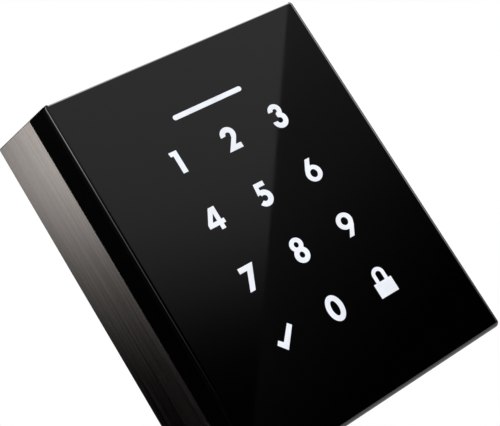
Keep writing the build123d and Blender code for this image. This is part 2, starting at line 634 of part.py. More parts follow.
with BuildPart() as motor_pinion:
    with BuildSketch(facing(GEAR_Y1, 0, -GEAR_SPACING)):
        involute_gear(PINION_TEETH, GEAR_BACKLASH, 90 + 180 / PINION_TEETH)
    extrude(amount=GEAR_T)
    rod(GEAR_Y0, GEAR_Y1, MOTOR_SHAFT_R, 0, -GEAR_SPACING, mode=Mode.SUBTRACT)
finish(motor_pinion.part, "motor_pinion")

with BuildPart() as motor_shaft:
    rod(GEAR_Y0, MOTOR_Y0 + 3.0, MOTOR_SHAFT_R, 0, -GEAR_SPACING)
finish(motor_shaft.part, "motor_shaft")

# ---- gear plate: carries the motor and guides the output shaft ----
GEAR_PLATE_Y0 = GEAR_Y1 + 0.8
with BuildPart() as gear_plate:
    slab(GEAR_PLATE_Y0, MOTOR_Y0, GEAR_PLATE_W, GEAR_PLATE_Z0, GEAR_PLATE_Z1)
    rod(GEAR_PLATE_Y0, MOTOR_Y0, TURN_SHAFT_R + RUN, mode=Mode.SUBTRACT)
    rod(GEAR_PLATE_Y0, MOTOR_Y0, MOTOR_SHAFT_R + 0.6, 0, -GEAR_SPACING, mode=Mode.SUBTRACT)
    for leg_x, leg_z in LEG_SPOTS:
        rod(PLATE_Y1, GEAR_PLATE_Y0, LEG_R, leg_x, leg_z)
        rod(PLATE_Y1, MOTOR_Y0, SCREW_R, leg_x, leg_z, mode=Mode.SUBTRACT)
finish(gear_plate.part, "gear_plate")

with BuildPart() as gear_plate_screws:
    for leg_x, leg_z in LEG_SPOTS:
        rod(PLATE_Y1, MOTOR_Y0, SCREW_R, leg_x, leg_z)
        rod(MOTOR_Y0, MOTOR_Y0 + 1.4, SCREW_HEAD_R, leg_x, leg_z)
finish(gear_plate_screws.part, "gear_plate_screws")

with BuildPart() as drive_motor:
    rod(MOTOR_Y0, MOTOR_Y1, MOTOR_R, 0, -GEAR_SPACING)
    rod(MOTOR_Y0, MOTOR_Y0 + 3.0, MOTOR_SHAFT_R + RUN, 0, -GEAR_SPACING, mode=Mode.SUBTRACT)
    slab(MOTOR_Y1, MOTOR_Y1 + 1.0, 4, -GEAR_SPACING - 4, -GEAR_SPACING + 4)
finish(drive_motor.part, "drive_motor")

# ---- battery tray, four size AA cells and their contacts ----
CELL_Y = [TRAY_Y0 + TRAY_T + 0.3 + CELL_R, TRAY_Y0 + TRAY_T + 0.3 + CELL_R + CELL_PITCH]
TRAY_Z1 = TRAY_Z0 + CELL_L + 2 * CONTACT_GAP + 2 * TRAY_T
TRAY_TOP_Y = CELL_Y[1] + 2.0
with BuildPart() as battery_tray:
    slab(TRAY_Y0, TRAY_TOP_Y, TRAY_W, TRAY_Z0, TRAY_Z1)
    slab(TRAY_Y0 + TRAY_T, TRAY_TOP_Y, TRAY_W - 2 * TRAY_T, TRAY_Z0 + TRAY_T, TRAY_Z1 - TRAY_T,
         mode=Mode.SUBTRACT)
finish(battery_tray.part, "battery_tray")

cell_places = [(x, y) for y in CELL_Y for x in (-CELL_PITCH / 2, CELL_PITCH / 2)]
CELL_Z0 = TRAY_Z0 + TRAY_T + CONTACT_GAP
CELL_BODY_L = CELL_L - CELL_CAP_H
for index, (cell_x, cell_y) in enumerate(cell_places):
    flip = index % 2
    with BuildPart() as cell:
        with Locations((cell_x, cell_y, CELL_Z0 + CELL_CAP_H * flip + CELL_BODY_L / 2)):
            Cylinder(CELL_R, CELL_BODY_L)
        with Locations((cell_x, cell_y, CELL_Z0 + CELL_CAP_H / 2 + (1 - flip) * CELL_BODY_L)):
            Cylinder(CELL_CAP_R, CELL_CAP_H)
    finish(cell.part, f"battery_{index + 1}")

with BuildPart() as battery_contacts:
    for cell_x, cell_y in cell_places:
        for contact_z in (TRAY_Z0 + TRAY_T + CONTACT_GAP / 2, TRAY_Z1 - TRAY_T - CONTACT_GAP / 2):
            with Locations((cell_x, cell_y, contact_z)):
                Box(CONTACT_W, CONTACT_W, CONTACT_GAP)
finish(battery_contacts.part, "battery_contacts")

# ---- inside board with its switch, and the program button above it ----
with BuildPart() as inside_board:
    slab(INSIDE_BOARD_Y, INSIDE_BOARD_Y + BOARD_T, INSIDE_BOARD_W, INSIDE_BOARD_Z0, INSIDE_BOARD_Z1)
finish(inside_board.part, "inside_board")

with BuildPart() as inside_board_parts:
    slab(INSIDE_BOARD_Y - 1.2, INSIDE_BOARD_Y, 6, -32, -28.5, -9)
    slab(INSIDE_BOARD_Y + BOARD_T, BUTTON_Y0 - BUTTON_TRAVEL - 0.1, SWITCH_W, BUTTON_Z - SWITCH_W / 2,
         BUTTON_Z + SWITCH_W / 2)
finish(inside_board_parts.part, "inside_board_parts")

with BuildPart() as program_button:
    rod(BUTTON_Y0, INSIDE_FRONT_Y + BUTTON_TRAVEL + 0.2, BUTTON_R, 0, BUTTON_Z)
    rod(BUTTON_Y0, BUTTON_Y0 + BUTTON_FLANGE_T, BUTTON_FLANGE_R, 0, BUTTON_Z)
finish(program_button.part, "program_button")

# ---- thumb-turn ----
with BuildPart() as thumb_turn:
    rod(SHAFT_Y1, SHAFT_Y1 + TURN_DISC_T, TURN_DISC_R)
    with BuildSketch(facing(SHAFT_Y1 + TURN_DISC_T)):
        SlotOverall(TURN_BAR_L, TURN_BAR_W, rotation=90)
    extrude(amount=-TURN_BAR_H)
    fillet(thumb_turn.edges().group_by(Axis.Y)[-1], TURN_FILLET)
    slab(SHAFT_Y1 - 2 * TURN_KEY_L + 0.2, SHAFT_Y1, KEY_W - 0.1, 0.05 - KEY_W / 2, KEY_W / 2 - 0.05)
    rod(SHAFT_Y1 - TURN_KEY_L, SHAFT_Y1, TURN_SHAFT_R)
finish(thumb_turn.part, "thumb_turn")

# ---- inside housing and its sliding battery cover ----
BEVEL_Y = INSIDE_FRONT_Y - INSIDE_BEVEL
with BuildPart() as inside_housing:
    loft([inside_section(INSIDE_Y).sketch, inside_section(BEVEL_Y).sketch])
    loft([inside_section(BEVEL_Y).sketch, inside_section(INSIDE_FRONT_Y, INSIDE_BEVEL).sketch])
    loft([inside_section(INSIDE_Y, INSIDE_WALL).sketch,
          inside_section(INSIDE_FRONT_Y - INSIDE_WALL, INSIDE_WALL).sketch], mode=Mode.SUBTRACT)
    rod(INSIDE_FRONT_Y - INSIDE_WALL, INSIDE_FRONT_Y, TURN_SHAFT_R + RUN, mode=Mode.SUBTRACT)
    rod(INSIDE_FRONT_Y - INSIDE_WALL, INSIDE_FRONT_Y, BUTTON_R + RUN, 0, BUTTON_Z, mode=Mode.SUBTRACT)
    slab(INSIDE_FRONT_Y - INSIDE_WALL, INSIDE_FRONT_Y, COVER_W + 0.2, COVER_Z0 - 0.1, INSIDE_Z1,
         mode=Mode.SUBTRACT)
finish(inside_housing.part, "inside_housing")

with BuildPart() as battery_cover:
    slab(INSIDE_FRONT_Y - INSIDE_WALL, INSIDE_FRONT_Y, COVER_W, COVER_Z0, INSIDE_Z1 - INSIDE_END_DRAFT)
    for rib in range(COVER_RIBS):
        rib_z = COVER_Z0 + (rib + 2) * RIB_PITCH
        slab(INSIDE_FRONT_Y - RIB_DEPTH, INSIDE_FRONT_Y, RIB_W, rib_z, rib_z + RIB_H, mode=Mode.SUBTRACT)
finish(battery_cover.part, "battery_cover")
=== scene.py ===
"""Looks for the keypad smart lock: camera, studio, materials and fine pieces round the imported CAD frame."""
import json
from math import cos, pi, radians, sin

import bmesh
import bpy
from mathutils import Matrix, Vector


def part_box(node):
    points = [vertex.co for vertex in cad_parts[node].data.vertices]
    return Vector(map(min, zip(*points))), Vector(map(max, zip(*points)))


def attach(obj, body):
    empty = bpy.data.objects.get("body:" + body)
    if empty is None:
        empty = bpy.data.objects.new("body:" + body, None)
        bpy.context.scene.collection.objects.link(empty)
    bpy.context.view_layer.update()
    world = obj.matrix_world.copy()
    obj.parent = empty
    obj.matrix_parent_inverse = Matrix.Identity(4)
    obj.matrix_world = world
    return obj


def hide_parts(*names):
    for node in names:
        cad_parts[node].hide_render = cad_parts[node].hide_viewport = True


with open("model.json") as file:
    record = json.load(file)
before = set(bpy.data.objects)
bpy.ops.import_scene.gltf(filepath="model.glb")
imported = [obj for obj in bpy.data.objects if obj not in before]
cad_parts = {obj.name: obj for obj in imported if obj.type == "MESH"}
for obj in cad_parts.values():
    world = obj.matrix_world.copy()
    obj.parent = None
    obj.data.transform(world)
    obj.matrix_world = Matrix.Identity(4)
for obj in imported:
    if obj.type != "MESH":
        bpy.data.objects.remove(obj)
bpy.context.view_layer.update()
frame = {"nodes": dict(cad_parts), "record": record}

MM = 0.001
NODES = frame["nodes"]
GLASS_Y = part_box("front_glass")[0].y         # plane of the glass front

# ---- camera: close, low and from the left, rolled so that the lock leans to the left ----
FOCAL_MM = 79.56
SENSOR_MM = 36.0
VIEW_AZIMUTH = radians(26.50)                # turned from straight-on towards the left side
VIEW_RISE = radians(8.445)                   # the view looks up by this much
VIEW_ROLL = radians(31.81)
VIEW_DISTANCE = 0.25806
AIM = Vector((-0.00588, GLASS_Y, 0.00474))


def make_camera():
    forward = Vector((sin(VIEW_AZIMUTH) * cos(VIEW_RISE), cos(VIEW_AZIMUTH) * cos(VIEW_RISE), sin(VIEW_RISE)))
    level_right = forward.cross(Vector((0, 0, 1))).normalized()
    level_up = level_right.cross(forward)
    right = level_right * cos(VIEW_ROLL) - level_up * sin(VIEW_ROLL)
    up = level_up * cos(VIEW_ROLL) + level_right * sin(VIEW_ROLL)
    place = AIM - forward * VIEW_DISTANCE
    camera = bpy.data.cameras.new("camera")
    camera.lens = FOCAL_MM
    camera.sensor_width = SENSOR_MM
    camera.sensor_fit = "HORIZONTAL"
    camera.clip_start = 10 * MM
    holder = bpy.data.objects.new("camera", camera)
    bpy.context.scene.collection.objects.link(holder)
    axes = Matrix((right, up, -forward)).transposed().to_4x4()
    holder.matrix_world = Matrix.Translation(place) @ axes
    bpy.context.scene.camera = holder


make_camera()
bpy.context.scene.view_settings.view_transform = "Standard"


# ---- node helpers ----
class Shader:
    """A node tree under construction, with short calls for the nodes that this script uses."""

    def __init__(self, tree):
        self.tree = tree
        self.nodes = tree.nodes
        self.nodes.clear()

    def node(self, kind, inputs=None, **settings):
        made = self.nodes.new(kind)
        for name, value in settings.items():
            setattr(made, name, value)
        for name, value in (inputs or {}).items():
            self.plug(made.inputs[name], value)
        return made

    def plug(self, socket, value):
        if hasattr(value, "is_output"):
            self.tree.links.new(value, socket)
        else:
            socket.default_value = value

    def math(self, operation, *values, clamp=False):
        made = self.node("ShaderNodeMath", operation=operation, use_clamp=clamp)
        for socket, value in zip(made.inputs, values):
            self.plug(socket, value)
        return made.outputs[0]

    def remap(self, value, low, high, out_low=0.0, out_high=1.0, smooth=False):
        kind = "SMOOTHSTEP" if smooth else "LINEAR"
        made = self.node("ShaderNodeMapRange", {"Value": value, "From Min": low, "From Max": high,
                                                "To Min": out_low, "To Max": out_high},
                         interpolation_type=kind)
        return made.outputs["Result"]

    def ramp(self, value, stops):
        """Grey levels at places from 0 to 1, joined smoothly."""
        made = self.node("ShaderNodeValToRGB", {"Fac": value})
        made.color_ramp.interpolation = "B_SPLINE" if len(stops) > 8 else "LINEAR"
        elements = made.color_ramp.elements
        while len(elements) < len(stops):
            elements.new(1.0)
        for element, (place, level) in zip(elements, stops):
            element.position = place
            element.color = (level, level, level, 1.0)
        return made.outputs["Color"]

    def mix_colour(self, factor, first, second):
        made = self.node("ShaderNodeMix", data_type="RGBA")
        self.plug(made.inputs[0], factor)
        self.plug(made.inputs[6], first)
        self.plug(made.inputs[7], second)
        return made.outputs[2]

    def window(self, value, start, full, fade, end):
        """1 between full and fade, falling to 0 at start and at end."""
        return self.math("MULTIPLY", self.remap(value, start, full), self.remap(value, end, fade))

    def texture_part(self, kind, axis):
        """X, Y or Z of the shaded point's place ("Object") or of its surface direction ("Normal")."""
        coordinates = self.node("ShaderNodeTexCoord").outputs[kind]
        return self.node("ShaderNodeSeparateXYZ", {"Vector": coordinates}).outputs[axis]

    def noise(self, scale, stretch=(1, 1, 1), detail=3.0, roughness=0.5):
        """Noise in the object's own metres: scale is how many grains there are in a metre."""
        place = self.node("ShaderNodeTexCoord").outputs["Object"]
        mapping = self.node("ShaderNodeMapping", {"Vector": place, "Scale": stretch})
        made = self.node("ShaderNodeTexNoise", {"Vector": mapping.outputs[0], "Scale": scale,
                                                "Detail": detail, "Roughness": roughness})
        return made.outputs["Fac"]

    def bump(self, height, depth, normal=None):
        inputs = {"Height": height, "Distance": depth, "Strength": 1.0}
        if normal is not None:
            inputs["Normal"] = normal
        return self.node("ShaderNodeBump", inputs).outputs["Normal"]

    def finish(self, surface):
        self.node("ShaderNodeOutputMaterial", {"Surface": surface})


def new_material(name):
    material = bpy.data.materials.new(name)
    material.use_nodes = True
    return material, Shader(material.node_tree)


def dress(name, material):
    """Give a CAD node its material."""
    mesh = NODES[name].data
    mesh.materials.clear()
    mesh.materials.append(material)
    for polygon in mesh.polygons:
        polygon.material_index = 0


# ---- studio ----
GLASS_FACTOR = 1 / 0.0415  # reflected level on the glass back to studio brightness


def linear(level):
    """Display level 0-255 to linear light."""
    share = level / 255
    return share / 12.92 if share <= 0.04045 else ((share + 0.055) / 1.055) ** 2.4


def grey(level):
    return (level, level, level, 1.0)


# the large softbox in front: its two halves by height, and the slanting edge between them
ACROSS_START, ACROSS_SPAN = 0.367, 0.315     # the part of the room that the glass mirrors, sideways
RISE_START, RISE_SPAN = -0.0648, 0.4203      # and in height
EDGE_SLOPE, EDGE_OFFSET = 1.05, -0.069       # the slanting edge, in shares of that part
EDGE_SOFT = 0.006
TILT_LEFT = 0.17          # how the softbox gradient leans across the glass
TILT_RIGHT = 0.20
TILT_RIGHT_START = 0.55   # share of the width from which the right half leans
LEFT_LEVELS = [(place / 2, linear(level) * GLASS_FACTOR) for place, level in
               [(0.12, 0), (0.22, 1), (0.30, 4), (0.38, 12), (0.46, 22), (0.56, 32), (0.68, 40), (0.85, 43),
                (1.1, 46)]]
RIGHT_LEVELS = [(place / 2, linear(level) * GLASS_FACTOR) for place, level in
                [(0.08, 0), (0.2, 3), (0.35, 8), (0.5, 15), (0.66, 19), (0.8, 24), (0.95, 29), (1.1, 32)]]
FRONT_FROM, FRONT_FULL = -0.70, -0.78        # Y part of the ray where the front softbox takes over

# brightness by the slope of the ray, where -1..1 is squeezed into 0..1
SIDE_LEVELS = [(0.50, 0.0), (0.53, 0.0), (0.548, 0.012), (0.566, 0.045), (0.584, 0.11), (0.605, 0.23),
               (0.64, 0.56), (0.72, 0.6), (0.80, 0.35), (1.0, 0.35)]
BEHIND_LEVELS = [(0.51, 0.0), (0.57, 0.04), (0.63, 0.12), (0.70, 0.36), (1.0, 0.50)]
LEFT_BOX_LEVELS = [(0.50, 0.0), (0.53, 0.04), (0.557, 0.13), (0.583, 0.22), (0.612, 0.38), (0.645, 0.95)]

# zones round the lock: where each starts, is full, begins to fade and ends, in degrees to the left of
# straight back, and the slopes between which it fades in or out
BEHIND_TURN = (-66.0, -62.0, 6.0, 8.0)
GREY_WALL = 0.12          # wall to the right behind, that the right edge of the glass mirrors
GREY_WALL_TURN = (-66.0, -62.0, -30.0, -27.0)
GREY_WALL_TOP = (0.38, 0.33)
BACK_BOX = 0.45           # low softbox behind, that lights the inside unit's face
BACK_BOX_TURN = (-16.0, -13.0, 5.0, 6.5)
BACK_BOX_SLOPE = (-0.45, -0.35, 0.05, 0.15)
DARK_FLAGS = [(6.5, 9.5, 25.5, 28.5), (43.0, 46.0, 88.5, 91.5)]     # black cards beside the side card
SIDE_CARD = 1.9           # card to the left behind, that the metal side mirrors
SIDE_CARD_TURN = (26.0, 28.0, 43.0, 45.0)
LEFT_BOX = 7.0            # softbox to the left of the camera, that draws the thin left edge of the glass
LEFT_BOX_TURN = (119.0, 121.0, 137.0, 139.0)
RIGHT_CARD = 0.3
RIGHT_CARD_TURN = (-135.0, -120.0, -70.0, -55.0)
RIGHT_CARD_SLOPE = (-0.10, 0.30)
RIGHT_BOX = 4.5           # softbox to the right of the camera, that draws the thin right edge of the glass
RIGHT_BOX_TURN = (-136.0, -132.0, -106.0, -102.0)
RIGHT_BOX_SLOPE = (-0.10, 0.12)

OVERHEAD = 9.0            # strip light above, that the top edge of the glass mirrors
STRIP_X = 0.43            # sideways place of the strip light, as the X part of the ray
STRIP_HALF = (0.20, 0.14)      # half its width, outside and inside its soft edge
STRIP_RISE = (0.55, 0.80)      # Z part of the ray over which it comes in
BELOW = 0.04              # grey table under the lock
BELOW_RISE = (-0.50, -0.74)    # Z part of the ray over which it comes in
BELOW_AHEAD = (-0.45, -0.20)   # and Y part, which leaves the front softbox free


def front_softbox(make, dx, dy, dz):
    """Large softbox in front with a straight slanting edge, as the flat glass mirrors it."""
    ahead = make.math("MAXIMUM", make.math("MULTIPLY", dy, -1.0), 0.02)
    across = make.math("DIVIDE", dx, ahead)
    rise = make.math("DIVIDE", dz, ahead)
    u = make.math("DIVIDE", make.math("SUBTRACT", across, ACROSS_START), ACROSS_SPAN)
    v = make.math("DIVIDE", make.math("SUBTRACT", rise, RISE_START), RISE_SPAN)
    left_v = make.math("ADD", v, make.math("MULTIPLY", u, TILT_LEFT))
    left = make.ramp(make.math("MULTIPLY", left_v, 0.5), LEFT_LEVELS)
    right_u = make.math("SUBTRACT", u, TILT_RIGHT_START)
    right_v = make.math("SUBTRACT", v, make.math("MULTIPLY", right_u, TILT_RIGHT))
    right = make.ramp(make.math("MULTIPLY", right_v, 0.5), RIGHT_LEVELS)
    edge = make.math("SUBTRACT", u, make.math("MULTIPLY_ADD", v, EDGE_SLOPE, EDGE_OFFSET))
    return make.mix_colour(make.remap(edge, -EDGE_SOFT, EDGE_SOFT), left, right)


def surroundings(make, dx, dy, dz):
    """Walls, cards and softboxes round the lock, by the direction and the slope of the ray."""
    level_length = make.math("SQRT", make.math("MAXIMUM", make.math("SUBTRACT", 1.0,
                             make.math("MULTIPLY", dz, dz)), 0.0001))
    slope = make.math("DIVIDE", dz, level_length)
    squeezed = make.math("MULTIPLY_ADD", slope, 0.5, 0.5)
    turned = make.math("MULTIPLY", make.math("ARCTAN2", make.math("MULTIPLY", dx, -1.0), dy), 180 / pi)

    sides = make.ramp(squeezed, SIDE_LEVELS)
    sides = make.mix_colour(make.window(turned, *BEHIND_TURN), sides, make.ramp(squeezed, BEHIND_LEVELS))
    grey_wall = make.math("MULTIPLY", make.window(turned, *GREY_WALL_TURN), make.remap(slope, *GREY_WALL_TOP))
    sides = make.mix_colour(grey_wall, sides, grey(GREY_WALL))
    back_box = make.math("MULTIPLY", make.window(turned, *BACK_BOX_TURN), make.window(slope, *BACK_BOX_SLOPE))
    sides = make.mix_colour(back_box, sides, grey(BACK_BOX))
    for flag_turn in DARK_FLAGS:
        sides = make.mix_colour(make.window(turned, *flag_turn), sides, grey(0.0))
    card_level = make.math("MULTIPLY", make.ramp(squeezed, SIDE_LEVELS), SIDE_CARD)
    sides = make.mix_colour(make.window(turned, *SIDE_CARD_TURN), sides, card_level)
    box_level = make.math("MULTIPLY", make.ramp(squeezed, LEFT_BOX_LEVELS), LEFT_BOX)
    sides = make.mix_colour(make.window(turned, *LEFT_BOX_TURN), sides, box_level)
    card_level = make.math("MULTIPLY", make.remap(slope, *RIGHT_CARD_SLOPE), RIGHT_CARD)
    sides = make.mix_colour(make.window(turned, *RIGHT_CARD_TURN), sides, card_level)
    box_level = make.math("MULTIPLY", make.remap(slope, *RIGHT_BOX_SLOPE), RIGHT_BOX)
    return make.mix_colour(make.window(turned, *RIGHT_BOX_TURN), sides, box_level)


def make_studio():
    """White behind the lock for the camera, and round it a studio that is bright above and dark below."""
    world = bpy.data.worlds.new("studio")
    world.use_nodes = True
    bpy.context.scene.world = world
    make = Shader(world.node_tree)
    direction = make.node("ShaderNodeTexCoord").outputs["Generated"]
    dx, dy, dz = make.node("ShaderNodeSeparateXYZ", {"Vector": direction}).outputs

    is_front = make.remap(dy, FRONT_FROM, FRONT_FULL)
    room = make.mix_colour(is_front, surroundings(make, dx, dy, dz), front_softbox(make, dx, dy, dz))
    aside = make.math("ABSOLUTE", make.math("SUBTRACT", dx, STRIP_X))
    strip = make.math("MULTIPLY", make.remap(dz, *STRIP_RISE), make.remap(aside, *STRIP_HALF))
    room = make.mix_colour(strip, room, grey(OVERHEAD))
    below = make.math("MULTIPLY", make.remap(dz, *BELOW_RISE), make.remap(dy, *BELOW_AHEAD))
    room = make.mix_colour(below, room, grey(BELOW))
    background = make.node("ShaderNodeBackground", {"Color": room, "Strength": 1.0})
    white = make.node("ShaderNodeBackground", {"Color": grey(1.0), "Strength": 1.0})
    path = make.node("ShaderNodeLightPath")
    chosen = make.node("ShaderNodeMixShader", {0: path.outputs["Is Camera Ray"], 1: background.outputs[0],
                                               2: white.outputs[0]})
    make.node("ShaderNodeOutputWorld", {"Surface": chosen.outputs[0]})


make_studio()


# ---- materials ----
NOISE_RANGE = (0.3, 0.7)       # where most values of the noise lie
GROUND_EDGE = (GLASS_Y + 0.4 * MM, GLASS_Y + 0.6 * MM)     # from the polished rounding to the ground edge
LYING = (0.4, 0.5)             # upright part of the surface direction where the brushing turns across
SCRATCH_DEPTH = 0.0006 * MM


def black_glass():
    """Polished glass, printed black behind; its ground edge is blackened below the polished rounding."""
    material, make = new_material("black_glass")
    smudge = make.noise(90, detail=5)
    edge = make.remap(make.texture_part("Object", "Y"), *GROUND_EDGE)
    polish = make.remap(smudge, 0.35, 0.7, 0.012, 0.035)
    body = make.node("ShaderNodeBsdfPrincipled", {
        "Base Color": (0.0003, 0.0003, 0.0004, 1), "IOR": 1.5,
        "Roughness": make.math("MULTIPLY_ADD", edge, 0.4, polish),
        "Specular IOR Level": make.remap(edge, 0.0, 1.0, 0.5, 0.02)})
    make.finish(body.outputs[0])
    return material


def gloss_black():
    material, make = new_material("gloss_black")
    grain = make.noise(400, detail=3)
    body = make.node("ShaderNodeBsdfPrincipled", {"Base Color": (0.0004, 0.0004, 0.0004, 1), "IOR": 1.45,
                                                  "Specular IOR Level": 0.004,
                                                  "Roughness": make.remap(grain, *NOISE_RANGE, 0.25, 0.40)})
    make.finish(body.outputs[0])
    return material


def brushed_metal(name, colour, roughness, anisotropy, stretch, contrast=0.08, fade=None, scale=3000):
    """Satin metal with fine scratches along one direction, and on its top and underside across it.

    fade darkens the colour between two places along Y: painted shade, standing in for light that falls off
    there.
    """
    material, make = new_material(name)
    along = make.noise(scale, stretch, detail=4, roughness=0.7)
    lying = make.remap(make.math("ABSOLUTE", make.texture_part("Normal", "Z")), *LYING)
    across = make.noise(scale, tuple(reversed(stretch)), detail=4, roughness=0.7)
    scratch = make.math("ADD", make.math("MULTIPLY", along, make.math("SUBTRACT", 1.0, lying)),
                        make.math("MULTIPLY", across, lying))
    cloud = make.noise(35, detail=2)
    grain_tone_and_painted_shade = make.remap(scratch, 0.38, 0.62, 1 - contrast, 1 + contrast)
    grain_tone_and_painted_shade = make.math("MULTIPLY", grain_tone_and_painted_shade, make.remap(cloud, *NOISE_RANGE, 0.97, 1.03))
    # painted shade: with fade, the colour is multiplied by a ramp along Y, lighter at one end and darker at
    # the other
    if fade:
        grain_tone_and_painted_shade = make.math("MULTIPLY", grain_tone_and_painted_shade, make.remap(make.texture_part("Object", "Y"), *fade))
    tint_with_painted_shade = make.node("ShaderNodeMix", data_type="RGBA", blend_type="MULTIPLY")
    make.plug(tint_with_painted_shade.inputs[0], 1.0)
    make.plug(tint_with_painted_shade.inputs[6], colour)
    grain_tone_and_painted_shade_colour = make.node("ShaderNodeCombineColor", {"Red": grain_tone_and_painted_shade, "Green": grain_tone_and_painted_shade, "Blue": grain_tone_and_painted_shade})
    make.plug(tint_with_painted_shade.inputs[7], grain_tone_and_painted_shade_colour.outputs[0])
    tangent = make.node("ShaderNodeMix", data_type="VECTOR")
    make.plug(tangent.inputs[0], lying)
    for slot, axis in ((4, "Z"), (5, "X")):
        round_axis = make.node("ShaderNodeTangent", direction_type="RADIAL", axis=axis)
        make.plug(tangent.inputs[slot], round_axis.outputs[0])
    body = make.node("ShaderNodeBsdfPrincipled", {
        "Base Color": tint_with_painted_shade.outputs[2], "Metallic": 1.0,
        "Anisotropic": anisotropy, "Tangent": tangent.outputs[1],
        "Roughness": make.remap(scratch, *NOISE_RANGE, roughness - 0.05, roughness + 0.06),
        "Normal": make.bump(scratch, SCRATCH_DEPTH)})
    make.finish(body.outputs[0])
    return material


def lit_legend():
    """Clear window in the black print, lit from behind: its brightness changes slightly at random."""
    material, make = new_material("lit_legend")
    spread = make.noise(260, detail=2)
    strength = make.remap(spread, *NOISE_RANGE, 0.88, 1.0)
    body = make.node("ShaderNodeBsdfPrincipled", {
        "Base Color": (0.02, 0.02, 0.02, 1), "Roughness": 0.03, "IOR": 1.5,
        "Emission Color": (0.90, 0.93, 1.0, 1), "Emission Strength": strength})
    make.finish(body.outputs[0])
    return material


def moulded(name, colour, roughness=0.5, grain_scale=1500, depth=0.02 * MM, metallic=0.0, specular=0.5):
    """Moulded plastic, rubber or cast metal with a fine grain and slight colour change."""
    material, make = new_material(name)
    grain = make.noise(grain_scale, detail=3)
    cloud = make.noise(60, detail=3)
    dark = tuple(channel * 0.85 for channel in colour[:3]) + (1,)
    shade = make.mix_colour(make.remap(cloud, *NOISE_RANGE), dark, colour)
    body = make.node("ShaderNodeBsdfPrincipled", {
        "Base Color": shade, "Metallic": metallic, "Specular IOR Level": specular,
        "Roughness": make.remap(grain, *NOISE_RANGE, roughness - 0.06, roughness + 0.06),
        "Normal": make.bump(grain, depth)})
    make.finish(body.outputs[0])
    return material


NICKEL = (0.60, 0.542, 0.507, 1)
NICKEL_PAINTED_FALLOFF = (-19 * MM, 0.0, 1.15, 0.55)      # painted shade: colour lighter behind the black band, darker at the door, for light falling off towards the door
satin_nickel = brushed_metal("satin_nickel", NICKEL, 0.20, 0.85, (1, 1, 0.016), contrast=0.25,
                             fade=NICKEL_PAINTED_FALLOFF, scale=1600)
zinc = brushed_metal("zinc_steel", (0.62, 0.62, 0.60, 1), 0.38, 0.2, (1, 1, 0.4))
bolt_steel = brushed_metal("bolt_steel", (0.58, 0.56, 0.53, 1), 0.30, 0.5, (0.02, 1, 1))
MATERIALS = {
    "touch_glass": black_glass(),
    "legend_light": lit_legend(),
    "black_band": gloss_black(),
    "seal_rubber": moulded("seal_rubber", (0.0025, 0.0025, 0.0025, 1), 0.7, specular=0.06),
    "satin_nickel": satin_nickel,
    "diffuser": moulded("diffuser", (0.85, 0.87, 0.87, 1), 0.5),
    "circuit_board": moulded("circuit_board", (0.012, 0.10, 0.04, 1), 0.35, 700),
    "components": moulded("components", (0.02, 0.02, 0.022, 1), 0.5),
    "lamp": moulded("lamp", (0.9, 0.85, 0.6, 1), 0.3),
    "chassis_plastic": moulded("chassis_plastic", (0.03, 0.03, 0.033, 1), 0.5),
    "zinc_steel": zinc,
    "bolt_steel": bolt_steel,
    "cast_zinc": moulded("cast_zinc", (0.42, 0.42, 0.41, 1), 0.42, 500, 0.04 * MM, 1.0),
    "brass": brushed_metal("brass", (0.75, 0.55, 0.25, 1), 0.28, 0.1, (1, 1, 1)),
    "gear_plastic": moulded("gear_plastic", (0.82, 0.80, 0.74, 1), 0.45),
    "motor_can": brushed_metal("motor_can", (0.68, 0.68, 0.68, 1), 0.25, 0.4, (1, 0.02, 1)),
    "cell_wrap": moulded("cell_wrap", (0.035, 0.12, 0.07, 1), 0.25, 2500, 0.0008 * MM),
    "spring_metal": brushed_metal("spring_metal", (0.75, 0.74, 0.72, 1), 0.25, 0.0, (1, 1, 1)),
    "button_rubber": moulded("button_rubber", (0.03, 0.03, 0.033, 1), 0.6),
    "cover_plastic": moulded("cover_plastic", (0.45, 0.43, 0.41, 1), 0.38, 2600, 0.01 * MM, 0.8),
}
for subpart in frame["record"]["subparts"]:
    dress(subpart["node"], MATERIALS[subpart["material_slot"]])


# ---- mesh helpers ----
ROUND = 32                # sides of a turned piece
# screws: the head's profile and cross recess in shares of its radius and height,
# and the thread's depth in shares of its pitch
HEAD_PROFILE = [(1.0, 0.0), (1.0, 0.4), (0.95, 0.7), (0.84, 0.93), (0.74, 1.0)]
RECESS_ARM = 0.5
RECESS_HALF = 0.13
RECESS_DEPTH = 0.6
THREAD_DEPTH = 0.45
THREAD_STEPS = 6          # rings in one pitch
SHARP_ANGLE = radians(32)


def circle(mesh, centre, radius, height, axis="Y"):
    """A ring of vertices round an axis along Y or Z; radius is one number, or one for each side."""
    radii = radius if isinstance(radius, list) else [radius] * ROUND
    ring = []
    for side in range(ROUND):
        angle = 2 * pi * side / ROUND
        first = centre[0] + radii[side] * cos(angle)
        second = centre[1] + radii[side] * sin(angle)
        ring.append(mesh.verts.new((first, height, second) if axis == "Y" else (first, second, height)))
    return ring


def skin(mesh, first, second):
    """Faces between two rings with the same number of vertices."""
    for step in range(len(first)):
        following = (step + 1) % len(first)
        mesh.faces.new((first[step], first[following], second[following], second[step]))


def turned_body(mesh, centre, profile, axis="Y", closed=True):
    """A body round an axis, from (radius, height) pairs; gives its last ring, which closed fills."""
    rings = [circle(mesh, centre, radius, height, axis) for radius, height in profile]
    for first, second in zip(rings, rings[1:]):
        skin(mesh, first, second)
    mesh.faces.new(rings[0])
    if closed:
        mesh.faces.new(rings[-1])
    return rings[-1]


def add_piece(name, mesh, slot, body, *replaced):
    """Make a piece of a finished mesh: its material, its body and any CAD nodes that it stands for."""
    bmesh.ops.recalc_face_normals(mesh, faces=mesh.faces)
    for face in mesh.faces:
        face.smooth = True
    data = bpy.data.meshes.new(name)
    mesh.to_mesh(data)
    mesh.free()
    data.set_sharp_from_angle(angle=SHARP_ANGLE)
    data.materials.append(MATERIALS[slot])
    made = bpy.data.objects.new(name, data)
    bpy.context.scene.collection.objects.link(made)
    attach(made, body)
    if replaced:
        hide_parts(*replaced)
    return made


